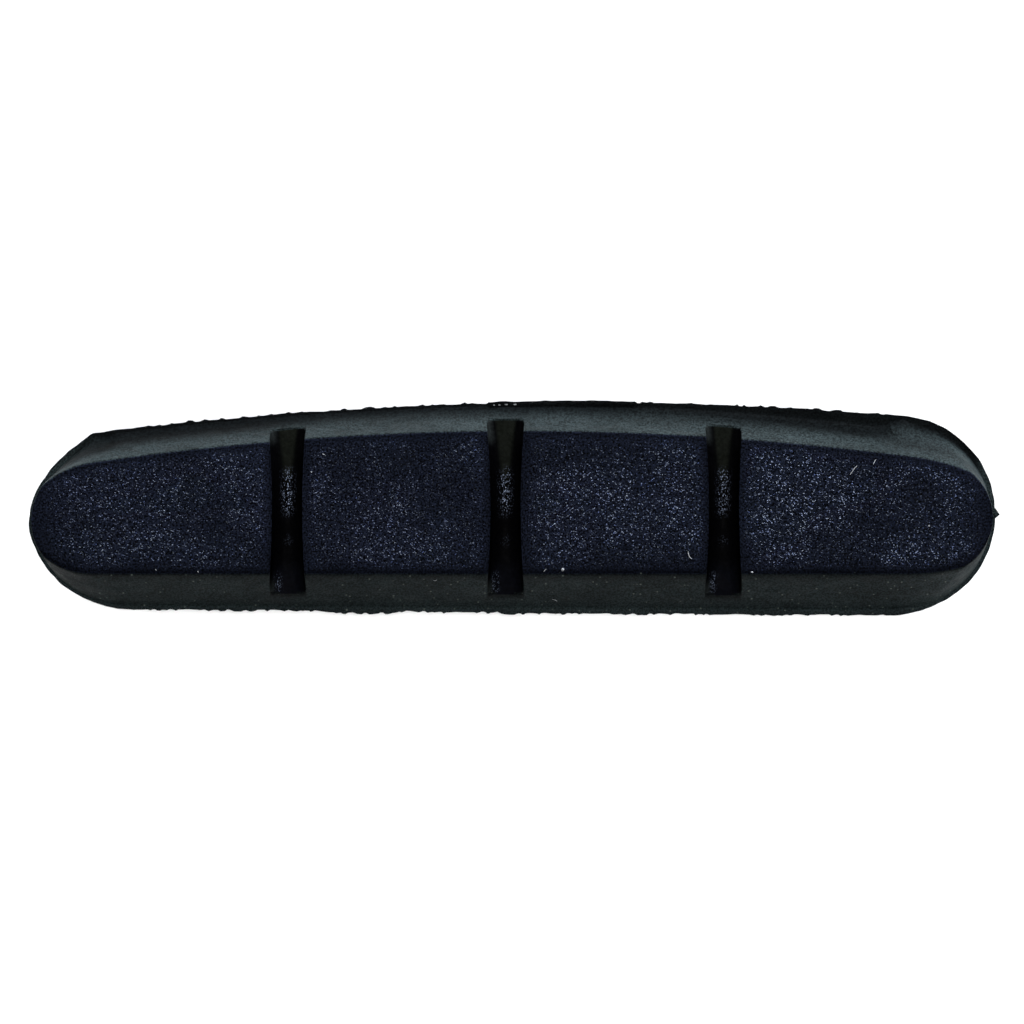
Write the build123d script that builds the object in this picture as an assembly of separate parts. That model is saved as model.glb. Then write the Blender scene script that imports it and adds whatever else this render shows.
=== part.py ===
from build123d import *
from math import sqrt
import os

# Rubber friction insert of a bicycle rim brake, moulded in one piece.
# It lies on its back: +Z is the friction side, +X runs along the pad and
# +Y points to the crowned long edge. All sizes are millimetres.

# Plan of the flange, which is the pad's largest outline
pad_length = 55.0
pad_width = 11.9
crown_radius = 222.0
crown_apex_x = 3.9
lower_edge_rise = 0.25
left_shoulder_radius = 0.6

# Left end: as deep as an arch whose radius is half the pad's width at the tip plus this excess;
# the fullness is the share of the arch's width at a third of its depth
left_end_excess = 0.19
left_end_fullness = 0.575
face_left_end_excess = 0.27
face_left_end_fullness = 0.65

# Heights, from the back face up
rail_thickness = 2.0
neck_height = 1.5
flange_thickness = 0.9
block_height = 5.6

# Friction block: its foot stands inside the flange, its face inside the foot
end_lip = 0.2
lower_lip = 0.2
upper_lip = 0.5
end_draft = 0.05
lower_draft = 2.0
upper_draft = 1.07
face_crown_radius = 167.0
face_crown_apex_x = 0.6
face_edge_radius = 0.3

# Cross grooves: waisted in plan, dished along the floor, round-bottomed at the waist
groove_count = 3
groove_pitch = 12.38
groove_centre_x = -0.37
groove_end_width = 2.1
groove_end_depth = 3.0
groove_end_floor_radius = 0.3
groove_waist_width = 1.72
groove_waist_depth = 3.6
groove_waist_floor_strip = 0.2
groove_overrun = 1.0

# Rail that slides into the shoe, and the neck between the rail and the flange
rail_setback = 1.45
rail_end_setback = 3.0
rail_corner_radius = 2.5
rail_chamfer = 0.4
lip_slot_depth = 1.2

# Half-round notch for the screw that keeps the insert in its shoe
notch_radius = 1.5
notch_from_right_end = 8.0

# Levels that the heights add up to
neck_z = rail_thickness
flange_z = neck_z + neck_height
block_z = flange_z + flange_thickness
face_z = block_z + block_height


def crown_y(x, apex_x, apex_y, radius):
    """Height of a crowned long edge at x: a large arc that peaks at the apex."""
    return apex_y - radius + sqrt(radius**2 - (x - apex_x) ** 2)


def end_run(half_width, excess):
    """Depth of the left end from its tip to its shoulders."""
    radius = half_width + excess
    return radius - sqrt(radius**2 - half_width**2)


def round_end_radius(tip_x, low_y, apex_x, apex_y, radius):
    """Radius of a full-round right end that touches its tip, the lower edge and the crown."""
    tip_run = tip_x - apex_x
    centre_drop = radius - (apex_y - low_y)
    half_sum = centre_drop - tip_run + radius
    return sqrt(half_sum**2 - tip_run**2 - centre_drop**2 + radius**2) - half_sum


def pad_outline(z, inset_x, low_y, low_rise, apex_x, apex_y, radius, left_excess, left_fullness):
    """Closed plan outline at height z: near-straight lower edge, full-round right end, crowned
    upper edge and slightly pointed left end."""
    left_tip = -pad_length / 2 + inset_x
    left_low_y = low_y + low_rise
    tip_half_width = (crown_y(left_tip, apex_x, apex_y, radius) - left_low_y) / 2
    left_x = left_tip + end_run(tip_half_width, left_excess)
    left_y = crown_y(left_x, apex_x, apex_y, radius)
    middle_y = (left_low_y + left_y) / 2
    via_x = left_tip + (left_x - left_tip) / 3
    via_rise = left_fullness * (left_y - left_low_y) / 2
    right_tip = pad_length / 2 - inset_x
    end_radius = round_end_radius(right_tip, low_y, apex_x, apex_y, radius)
    end_x = right_tip - end_radius
    touch_x = apex_x + (end_x - apex_x) * radius / (radius - end_radius)
    touch_y = crown_y(touch_x, apex_x, apex_y, radius)
    lower_edge = Line((left_x, left_low_y), (end_x, low_y))
    right_end = ThreePointArc((end_x, low_y), (right_tip, low_y + end_radius), (touch_x, touch_y))
    crown = ThreePointArc((touch_x, touch_y), (apex_x, apex_y), (left_x, left_y))
    left_end = Spline(
        (left_x, left_y),
        (via_x, middle_y + via_rise),
        (left_tip, middle_y),
        (via_x, middle_y - via_rise),
        (left_x, left_low_y),
    )
    return Pos(0, 0, z) * make_face([lower_edge, right_end, crown, left_end])


def round_shoulders(solid, bottom_z, top_z):
    """Rounds the two upright edges where the left end meets the long sides."""
    upright = solid.edges().filter_by_position(Axis.Z, bottom_z, top_z, inclusive=(False, False))
    return fillet(upright.sort_by(Axis.X)[:2], left_shoulder_radius)


def make_flange():
    """Plate under the friction block, whose rim is the mould's parting line."""
    outline = pad_outline(
        z=flange_z,
        inset_x=0,
        low_y=-pad_width / 2,
        low_rise=lower_edge_rise,
        apex_x=crown_apex_x,
        apex_y=pad_width / 2,
        radius=crown_radius,
        left_excess=left_end_excess,
        left_fullness=left_end_fullness,
    )
    return round_shoulders(extrude(outline, flange_thickness), flange_z, block_z)


def make_block():
    """Drafted friction block: its foot on the flange lofted to the smaller friction face."""
    foot_low_y = -pad_width / 2 + lower_lip
    foot_apex_y = pad_width / 2 - upper_lip
    foot = pad_outline(
        z=block_z,
        inset_x=end_lip,
        low_y=foot_low_y,
        low_rise=lower_edge_rise,
        apex_x=crown_apex_x,
        apex_y=foot_apex_y,
        radius=crown_radius - upper_lip,
        left_excess=left_end_excess,
        left_fullness=left_end_fullness,
    )
    face = pad_outline(
        z=face_z,
        inset_x=end_lip + end_draft,
        low_y=foot_low_y + lower_draft,
        low_rise=0,
        apex_x=face_crown_apex_x,
        apex_y=foot_apex_y - upper_draft,
        radius=face_crown_radius,
        left_excess=face_left_end_excess,
        left_fullness=face_left_end_fullness,
    )
    block = round_shoulders(loft([foot, face], ruled=True), block_z, face_z)
    face_rim = block.faces().sort_by(Axis.Z)[-1].edges()
    return fillet(face_rim, face_edge_radius)


def groove_section(x, y, width, depth, floor_radius):
    """U-shaped section across a groove, open above the friction face."""
    plane = Plane(origin=(x, y, face_z + groove_overrun), x_dir=(1, 0, 0), z_dir=(0, -1, 0))
    section = Rectangle(width, depth + groove_overrun, align=(Align.CENTER, Align.MAX))
    floor_corners = section.vertices().sort_by(Axis.Y)[:2]
    return plane * fillet(floor_corners, floor_radius)


def groove_cutter(x):
    """One groove, lofted from its lower open end through its waist to its upper open end."""
    end_y = pad_width / 2 + groove_overrun
    waist_radius = (groove_waist_width - groove_waist_floor_strip) / 2
    return loft(
        [
            groove_section(x, -end_y, groove_end_width, groove_end_depth, groove_end_floor_radius),
            groove_section(x, 0, groove_waist_width, groove_waist_depth, waist_radius),
            groove_section(x, end_y, groove_end_width, groove_end_depth, groove_end_floor_radius),
        ]
    )


def make_rail():
    """Neck and rail on the back, with a slot along each side for the lips of the shoe."""
    rail_length = pad_length - 2 * rail_end_setback
    rail_width = pad_width - 2 * rail_setback
    neck_width = rail_width - 2 * lip_slot_depth
    rail = extrude(RectangleRounded(rail_length, rail_width, rail_corner_radius), rail_thickness)
    rail = chamfer(rail.faces().sort_by(Axis.Z)[0].edges(), rail_chamfer)
    neck_plan = RectangleRounded(rail_length, neck_width, rail_corner_radius)
    neck = extrude(Pos(0, 0, neck_z) * neck_plan, neck_height)
    notch_x = pad_length / 2 - notch_from_right_end
    notch = Pos(notch_x, -rail_width / 2, 0) * Cylinder(
        notch_radius, flange_z, align=(Align.CENTER, Align.CENTER, Align.MIN)
    )
    return rail + neck - notch


def make_brake_pad():
    """The whole insert as one moulded solid."""
    pad = make_rail() + make_flange() + make_block()
    first_x = groove_centre_x - groove_pitch * (groove_count - 1) / 2
    for index in range(groove_count):
        pad -= groove_cutter(first_x + index * groove_pitch)
    return pad


os.makedirs("parts", exist_ok=True)
export_step(make_brake_pad(), "parts/brake_pad.step")
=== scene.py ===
import bmesh
import bpy
import numpy as np
from bpy.props import FloatProperty, FloatVectorProperty, IntProperty, PointerProperty
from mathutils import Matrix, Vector


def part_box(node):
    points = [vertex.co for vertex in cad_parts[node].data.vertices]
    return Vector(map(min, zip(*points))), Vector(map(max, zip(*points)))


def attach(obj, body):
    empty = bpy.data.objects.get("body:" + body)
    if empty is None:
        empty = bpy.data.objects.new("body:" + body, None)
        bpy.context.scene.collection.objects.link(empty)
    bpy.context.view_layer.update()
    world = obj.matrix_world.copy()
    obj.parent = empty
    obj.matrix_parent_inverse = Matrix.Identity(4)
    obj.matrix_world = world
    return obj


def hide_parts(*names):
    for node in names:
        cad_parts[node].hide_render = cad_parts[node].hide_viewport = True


bl_info = {
    "name": "Rim brake pad insert",
    "version": (1, 0, 0),
    "blender": (4, 5, 0),
    "location": "3D View > Sidebar > Brake Pad",
    "description": "Builds a moulded rubber insert for a bicycle rim brake, and its studio stage",
    "category": "Add Mesh",
}

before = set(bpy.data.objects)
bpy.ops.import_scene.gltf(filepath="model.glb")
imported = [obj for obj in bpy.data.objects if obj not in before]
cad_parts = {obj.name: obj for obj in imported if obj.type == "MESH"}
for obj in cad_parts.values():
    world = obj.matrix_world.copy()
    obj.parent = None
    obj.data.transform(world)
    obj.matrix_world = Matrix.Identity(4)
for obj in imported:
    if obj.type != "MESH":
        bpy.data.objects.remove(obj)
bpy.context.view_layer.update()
PAD_LOW, PAD_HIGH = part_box("brake_pad")

MM = 0.001
SEED = 41

# Columns of the pad's grid: end arch, rounded shoulder, start of a long side, blocks, grooves
END_REACH = 7.0
ARCH_COLUMNS = 40
SHOULDER_COLUMNS = 5
SIDE_COLUMNS = 14
END_COLUMNS = ARCH_COLUMNS + SHOULDER_COLUMNS + SIDE_COLUMNS
BLOCK_COLUMN_STEP = 0.135
LIP_COLUMNS = 4
WALL_COLUMNS = 2
FLOOR_CORNER_COLUMNS = 6
FLOOR_COLUMNS = 5

# Rows of half the grid, from the middle of the face to the middle of the back: on the straight runs
# between the section's corners, and on the curves about those corners
FACE_RUN = 26
EDGE_BEND = 5
FLANK_RUN = 13
ROOT_BEND = 14
LEDGE_RUN = 2
FIN_ROWS = 5
SMALL_BEND = 3
BACK_RUN = 4

# How many rows have gone by at the end of the face, the flank, the ledge and the fin, and, within the
# rounded friction edge, at the end of the face's relief, its colour and its dark outline of painted shade
FACE_ROWS = FACE_RUN + 1
FLANK_ROWS = FACE_ROWS + EDGE_BEND + FLANK_RUN + ROOT_BEND
LEDGE_ROWS = FLANK_ROWS + LEDGE_RUN + 1
FLASH_ROWS = LEDGE_ROWS + FIN_ROWS
RELIEF_ROWS = FACE_ROWS + 2
SKIN_ROWS = FACE_ROWS + 3
OUTLINE_ROWS = FACE_ROWS + 4

# Points on the curves that are sampled again, and cells along a side of the noise lattice
ARCH_POINTS = 401
RAIL_CORNER_POINTS = 24
LATTICE = 32


def millimetres(name, description, value):
    """A length property: shown in the scene's units, with its default given in millimetres."""
    return FloatProperty(name=name, description=description, default=value * MM, unit="LENGTH", precision=5)


def share(name, description, value):
    """A plain number from 0 to 1."""
    return FloatProperty(
        name=name, description=description, default=value, min=0.0, max=1.0, subtype="FACTOR"
    )


def watts(name, description, value):
    """The power of a light."""
    return FloatProperty(name=name, description=description, default=value, min=0.0, unit="POWER")


def colour(name, description, value):
    """A linear colour property."""
    return FloatVectorProperty(
        name=name, description=description, default=value, subtype="COLOR", size=3, min=0.0, max=1.0
    )


def whole_tenths(metres):
    """A packed length in millimetres, to a tenth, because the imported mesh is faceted."""
    return round(metres / MM, 1)


class PadSizes(bpy.types.PropertyGroup):
    """Sizes of the moulded insert."""

    length: millimetres("Length", "Overall length", whole_tenths(PAD_HIGH.x - PAD_LOW.x))
    width: millimetres("Width", "Overall width at the crown", whole_tenths(PAD_HIGH.y - PAD_LOW.y))
    height: millimetres("Height", "From the back to the friction face", whole_tenths(PAD_HIGH.z))
    crown_radius: millimetres("Crown radius", "Arc of the flange's upper long edge", 222.0)
    crown_apex: millimetres("Crown apex", "Where the flange's crown peaks along the pad", 3.9)
    lower_edge_rise: millimetres("Lower edge rise", "How much the lower edge climbs to the left", 0.25)
    upper_shoulder: millimetres("Upper shoulder", "Reach of the rounding of the upper left corner", 0.2)
    lower_shoulder: millimetres("Lower shoulder", "Reach of the rounding of the lower left corner", 2.2)
    face_shoulder: millimetres("Face shoulder", "The same for the face and the crowned foot", 1.6)
    left_end_excess: millimetres("Left end excess", "Left arch radius over the half width there", 0.19)
    face_left_end_excess: millimetres("Face left end excess", "The same for the friction face", 0.27)
    left_fullness: share("Left end fullness", "Share of its width at a third of its depth", 0.575)
    face_left_fullness: share("Face left end fullness", "The same for the friction face", 0.65)
    rail_thickness: millimetres("Rail thickness", "Thickness of the shoe rail", 2.0)
    neck_height: millimetres("Neck height", "Height of the slots for the shoe's lips", 1.5)
    flange_thickness: millimetres("Flange thickness", "Thickness of the flange plate", 0.9)
    end_lip: millimetres("End lip", "Ledge between block and flange rim at the ends", 0.2)
    lower_lip: millimetres("Lower lip", "Ledge along the lower side", 0.2)
    upper_lip: millimetres("Upper lip", "Ledge along the crowned side", 0.5)
    end_draft: millimetres("End draft", "How far the block narrows at each end", 0.05)
    lower_draft: millimetres("Lower draft", "How far the lower flank leans in", 2.0)
    upper_draft: millimetres("Upper draft", "How far the crowned flank leans in", 1.07)
    face_crown_radius: millimetres("Face crown radius", "Arc of the face's upper edge", 167.0)
    face_crown_apex: millimetres("Face crown apex", "Where the face's crown peaks", 0.6)
    face_edge_radius: millimetres("Face edge radius", "Rounding of the friction edge", 0.3)
    rail_setback: millimetres("Rail setback", "Rail inside the flange along the sides", 1.45)
    rail_end_setback: millimetres("Rail end setback", "Rail inside the flange at the ends", 3.0)
    rail_corner_radius: millimetres("Rail corner radius", "Corner of the rail in plan", 2.5)
    rail_chamfer: millimetres("Rail chamfer", "Lead-in along the back", 0.4)
    lip_slot_depth: millimetres("Lip slot depth", "Depth of the side slots", 1.2)
    notch_radius: millimetres("Notch radius", "Half-round notch for the retaining screw", 1.5)
    notch_from_right_end: millimetres("Notch place", "Notch centre from the right end", 8.0)


class GrooveSizes(bpy.types.PropertyGroup):
    """Sizes of the cross grooves."""

    count: IntProperty(name="Grooves", description="Number of cross grooves", default=3, min=1)
    pitch: millimetres("Pitch", "Distance from groove to groove", 12.38)
    centre: millimetres("Centre", "Middle of the row of grooves along the pad", -0.37)
    end_width: millimetres("End width", "Width at the open ends", 2.6)
    end_depth: millimetres("End depth", "Depth at the open ends", 3.52)
    end_floor_radius: millimetres("End floor radius", "Floor corner at the open ends", 0.3)
    waist_width: millimetres("Waist width", "Width in the middle of the pad", 1.72)
    waist_depth: millimetres("Waist depth", "Depth in the middle of the pad", 3.6)
    waist_floor_strip: millimetres("Waist floor strip", "Flat left between the round corners", 0.2)
    overrun: millimetres("Overrun", "How far the end sections lie outside the pad", 1.0)
    mouth_radius: millimetres("Mouth radius", "Rounding along the groove's mouth", 0.06)
    wall_draft: millimetres("Wall draft", "How far each wall leans in towards the floor", 0.05)


class MouldMarks(bpy.types.PropertyGroup):
    """Traces of moulding and use."""

    flash_width: millimetres("Flash width", "Mean width of the fin on the parting line", 0.07)
    flash_thickness: millimetres("Flash thickness", "Thickness of the fin at its root", 0.16)
    flare: millimetres("Flare", "How far up the crowned flank its hollow root reaches", 4.4)
    toe: millimetres("Toe", "How far that root runs out over the ledge", 0.5)
    grain: millimetres("Grain", "Height of the grain on the friction face", 0.012)
    pillow: millimetres("Pillow", "Drop of a block's face towards its edges", 0.05)
    lint_radius: millimetres("Lint radius", "Half thickness of a lint fibre", 0.02)


class RubberFinish(bpy.types.PropertyGroup):
    """Colours of the compound and of what lies on it."""

    face: colour("Friction face", "Ground compound between the grains", (0.0027, 0.0036, 0.0068))
    skin: colour("Moulded skin", "Matt flanks and back", (0.0095, 0.0133, 0.0140))
    # Root: painted shade where light falls off on the flanks, their ledge, under the lower friction edge
    # and below the grooves' lower ends
    root: colour("Root", "Smoother, darker root of the flanks", (0.0017, 0.0022, 0.0024))
    # Grain and blue grain: painted glints on the face's grain
    grain: colour("Grain", "Bright filler grains in the face", (0.27, 0.31, 0.37))
    blue_grain: colour("Blue grain", "Duller grains among them", (0.09, 0.13, 0.31))
    flash: colour("Flash", "Thin stretched fin on the parting line", (0.0042, 0.0050, 0.0054))
    # Groove skin: painted shade, the grooves' recesses made near black
    groove: colour("Groove skin", "Black skin inside the grooves", (0.0006, 0.0006, 0.0008))
    # Groove wall: painted light on the left walls where light comes in at the open ends
    wall: colour("Groove wall", "Paler skin on the left walls by the open ends", (0.0075, 0.0090, 0.0090))
    # Dull groove floor: painted light on the floor by the crowned open end
    dull_floor: colour(
        "Dull groove floor", "Film on the floor by the crowned side", (0.0038, 0.0045, 0.0035)
    )
    # Blue groove floor: painted bluish reflection on the floor by the lower end
    blue_floor: colour("Blue groove floor", "Floor by the lower side", (0.0013, 0.0015, 0.0024))
    # Groove glint: painted glints on the groove floors
    glint: colour("Groove glint", "Bright specks on the groove floors", (0.30, 0.36, 0.50))
    lint: colour("Lint", "Fibres and dust", (0.22, 0.235, 0.25))
    dust: colour("Dust", "Fine specks on the lower flank", (0.060, 0.070, 0.062))


class StageSettings(bpy.types.PropertyGroup):
    """Studio light, floor and camera."""

    camera_height: millimetres("Camera height", "Camera above the flange", 800.0)
    view_width: millimetres("View width", "Width of the picture at the flange", 58.42)
    view_drop: millimetres("View drop", "How far the picture's middle lies below the pad's", 0.23)
    floor: colour("Floor", "Pale floor", (0.90, 0.90, 0.90))
    key_tint: colour("Key tint", "Colour of the key light", (0.90, 0.93, 1.0))
    key_power: watts("Key", "Low light on the crowned side", 26.0)
    upper_power: watts("Upper", "High light on the crowned side", 1.0)
    lower_power: watts("Lower", "High light on the lower side", 0.35)
    left_power: watts("Left", "Low light at the left end", 5.0)
    right_power: watts("Right", "Low light at the right end", 8.0)
    top_power: watts("Top", "Small light beside the camera", 14.0)
    sky_strength: FloatProperty(name="Sky", description="Glow of the room near the horizon", default=0.1)


class Millimetres:
    """Reads the lengths of a property group in millimetres."""

    def __init__(self, group):
        self.group = group

    def __getattr__(self, name):
        return getattr(self.group, name) / MM


def lattice_noise(points, step, seed):
    """Smooth noise from -1 to 1: random values on a lattice of the given step, blended by the
    cubic 3t^2 - 2t^3 along each axis between the corners of the cell that holds the point."""
    table = np.random.default_rng(seed).uniform(-1.0, 1.0, (LATTICE, LATTICE, LATTICE))
    place = points / step
    cell = np.floor(place).astype(int)
    t = place - cell
    t = t * t * (3.0 - 2.0 * t)
    total = np.zeros(points.shape[:-1])
    for corner in np.ndindex(2, 2, 2):
        index = (cell + np.array(corner)) % LATTICE
        weight = np.where(corner, t, 1.0 - t).prod(axis=-1)
        total += weight * table[index[..., 0], index[..., 1], index[..., 2]]
    return total


def wobble(points, scale, seed):
    """Lattice noise of a scale, which is its strength and its step."""
    strength, step = scale
    return strength * lattice_noise(points, step, seed)


def ramp(value, start, stop):
    """Smooth step from 0 at start to 1 at stop: 3t^2 - 2t^3 of the clipped share t."""
    t = np.clip((value - start) / (stop - start), 0.0, 1.0)
    return t * t * (3.0 - 2.0 * t)


def arc(centre, start, stop, count):
    """Points of an arc: equal steps of angle about the centre from one point to another."""
    first, last = start - centre, stop - centre
    turn = np.arctan2(first[0] * last[1] - first[1] * last[0], first @ last)
    angle = np.arctan2(first[1], first[0]) + turn * np.linspace(0.0, 1.0, count)
    return centre + np.hypot(*first) * np.stack((np.cos(angle), np.sin(angle)), axis=-1)


class Side:
    """A long side in plan as part of a large circle: centre, radius, and +1 for the upper side."""

    def __init__(self, centre, radius, sign):
        self.centre = np.array(centre)
        self.radius = radius
        self.sign = sign

    def y(self, x):
        """Height of the side at x: the circle's centre plus or minus its half chord there."""
        return self.centre[1] + self.sign * np.sqrt(self.radius**2 - (x - self.centre[0]) ** 2)


def crowned_side(apex_x, apex_y, radius):
    """The upper side: an arc that peaks at its apex."""
    return Side((apex_x, apex_y - radius), radius, 1.0)


def nearly_straight_side(left, right, radius=1.0e5):
    """The lower side: so large an arc through two points that it is straight to the eye."""
    left, right = np.array(left), np.array(right)
    span = right - left
    up = np.array((-span[1], span[0])) / np.hypot(*span)
    return Side((left + right) / 2.0 + up * np.sqrt(radius**2 - span @ span / 4.0), radius, -1.0)


def end_run(half_width, excess):
    """Depth of an arched end: its radius, less the root of radius squared less half width squared."""
    radius = half_width + excess
    return radius - np.sqrt(radius**2 - half_width**2)


def smooth_curve(marks, count):
    """Natural cubic spline through a list of points, with the chord length as its parameter: on
    each span a cubic whose second derivatives, solved for all spans at once, agree at the points."""
    reach = np.concatenate(([0.0], np.cumsum(np.hypot(*np.diff(marks, axis=0).T))))
    span = np.diff(reach)[:, None]
    slope = np.diff(marks, axis=0) / span
    inner = np.arange(1, len(marks) - 1)
    system = np.eye(len(marks))
    system[inner, inner - 1] = span[:-1, 0]
    system[inner, inner] = 2.0 * (span[:-1, 0] + span[1:, 0])
    system[inner, inner + 1] = span[1:, 0]
    wanted = np.zeros_like(marks)
    wanted[1:-1] = 6.0 * np.diff(slope, axis=0)
    bend = np.linalg.solve(system, wanted)
    place = np.linspace(0.0, reach[-1], count)
    index = np.clip(np.searchsorted(reach, place, side="right") - 1, 0, len(span) - 1)
    on = ((place - reach[index]) / span[index, 0])[:, None]
    back = 1.0 - on
    pull = (back**3 - back) * bend[index] + (on**3 - on) * bend[index + 1]
    return back * marks[index] + on * marks[index + 1] + pull * span[index] ** 2 / 6.0


def outline_quarter(arch, side, middle_x, rounding):
    """One quarter of an outline, from its tip inwards: the arch at equal lengths, a quadratic
    Bezier curve about the shoulder where arch and side meet, then the side up to the shared columns."""
    reach = np.concatenate(([0.0], np.cumsum(np.hypot(*np.diff(arch, axis=0).T))))
    sample = np.linspace(0.0, reach[-1] - rounding, ARCH_COLUMNS)
    curve = np.stack([np.interp(sample, reach, axis) for axis in arch.T], axis=-1)
    shoulder = arch[-1]
    side_start = shoulder[0] + np.sign(middle_x - shoulder[0]) * rounding
    side_x = np.linspace(side_start, middle_x, SIDE_COLUMNS + 1)[:-1]
    straight = np.stack((side_x, side.y(side_x)), axis=-1)
    t = np.linspace(0.0, 1.0, SHOULDER_COLUMNS + 2)[1:-1, None]
    bend = (1.0 - t) ** 2 * curve[-1] + 2.0 * t * (1.0 - t) * shoulder + t**2 * straight[0]
    return np.concatenate((curve, bend, straight))


def left_arches(tip_x, low_y, crown, excess, fullness):
    """Upper and lower arch of the left end, each from the tip: a smooth curve through both
    shoulders, the tip, and a point at a third of the depth on either side of it."""
    left_x = tip_x + end_run((crown.y(tip_x) - low_y) / 2.0, excess)
    middle_y, half = (crown.y(left_x) + low_y) / 2.0, (crown.y(left_x) - low_y) / 2.0
    via_x = tip_x + (left_x - tip_x) / 3.0
    marks = np.array(
        (
            (left_x, middle_y + half),
            (via_x, middle_y + fullness * half),
            (tip_x, middle_y),
            (via_x, middle_y - fullness * half),
            (left_x, middle_y - half),
        )
    )
    tip = ARCH_POINTS - 1
    curve = smooth_curve(marks, 2 * tip + 1)
    return curve[tip::-1], curve[tip:]


def right_arches(tip_x, low_y, crown):
    """Upper and lower arch of the right end, each from the tip: one circle that touches the tip,
    the lower edge and the crown, from the quadratic equation that says so."""
    run, drop = tip_x - crown.centre[0], low_y - crown.centre[1]
    half_sum = drop - run + crown.radius
    radius = np.sqrt(half_sum**2 - run**2 - drop**2 + crown.radius**2) - half_sum
    centre = np.array((tip_x - radius, low_y + radius))
    touch = crown.centre + (centre - crown.centre) * crown.radius / (crown.radius - radius)
    tip = centre + (radius, 0.0)
    low = centre - (0.0, radius)
    return arc(centre, tip, touch, ARCH_POINTS), arc(centre, tip, low, ARCH_POINTS)


def pad_halves(middle_x, tip_x, low_y, low_rise, crown, excess, fullness, shoulders):
    """Upper and lower half of an outline, each from the left tip to the right tip: a crowned side
    above, a nearly straight one below, a pointed left end and a full-round right end."""
    left = left_arches(-tip_x, low_y + low_rise, crown, excess, fullness)
    right = right_arches(tip_x, low_y, crown)
    low = nearly_straight_side(left[1][-1], right[1][-1])
    halves = []
    for half, side in enumerate((crown, low)):
        start = outline_quarter(left[half], side, middle_x[0], shoulders[half])
        stop = outline_quarter(right[half], side, middle_x[-1], shoulders[0])
        middle = np.stack((middle_x, side.y(middle_x)), axis=-1)
        halves.append(np.concatenate((start, middle, stop[::-1])))
    return halves


def rail_halves(middle_x, half_length, half_width, corner_radius, notch):
    """Upper and lower half of a rounded rectangle, from tip to tip: the flat end, the quarter
    circle of the corner and the side, sampled at equal lengths; the lower half gives way to the
    notch, a circle about a point on the rail's side."""
    corner = np.array((corner_radius - half_length, half_width - corner_radius))
    start, stop = corner + (-corner_radius, 0.0), corner + (0.0, corner_radius)
    quarter = arc(corner, start, stop, RAIL_CORNER_POINTS)
    path = np.concatenate(([(-half_length, 0.0)], quarter, [(middle_x[0], half_width)]))
    reach = np.concatenate(([0.0], np.cumsum(np.hypot(*np.diff(path, axis=0).T))))
    sample = np.linspace(0.0, reach[-1], END_COLUMNS + 1)[:-1]
    left = np.stack([np.interp(sample, reach, axis) for axis in path.T], axis=-1)
    middle = np.stack((middle_x, np.full_like(middle_x, half_width)), axis=-1)
    upper = np.concatenate((left, middle, left[::-1] * (-1.0, 1.0)))
    lower = upper * (1.0, -1.0)
    notch_x, notch_y, notch_radius = notch
    inside = np.sqrt(np.clip(notch_radius**2 - (lower[:, 0] - notch_x) ** 2, 0.0, None))
    cut = (inside > 0.0) & (np.abs(lower[:, 0]) < middle_x[-1])
    lower[cut, 1] = np.maximum(lower[cut, 1], notch_y + inside[cut])
    return upper, lower


# What a grid column's table holds: a centre and, for its x, the shares of floor strip, floor corner,
# wall draft and mouth, and how far it moves with the groove's edge; for its height, the lift on the
# floor corner, the share of the wall and the drop on the mouth's arc; and its zone
CENTRE, STRIP, CORNER, DRAFT, MOUTH, EDGE, LIFT, WALL, DROP, ZONE = range(10)
TABLE_ROWS = 10
ON_BLOCK, ON_FLOOR, ON_WALL = 0.0, 1.0, 2.0

# Share of the way out to the end sections where the blocks' columns are spread evenly
NOMINAL_SHARE = 0.75


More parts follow.
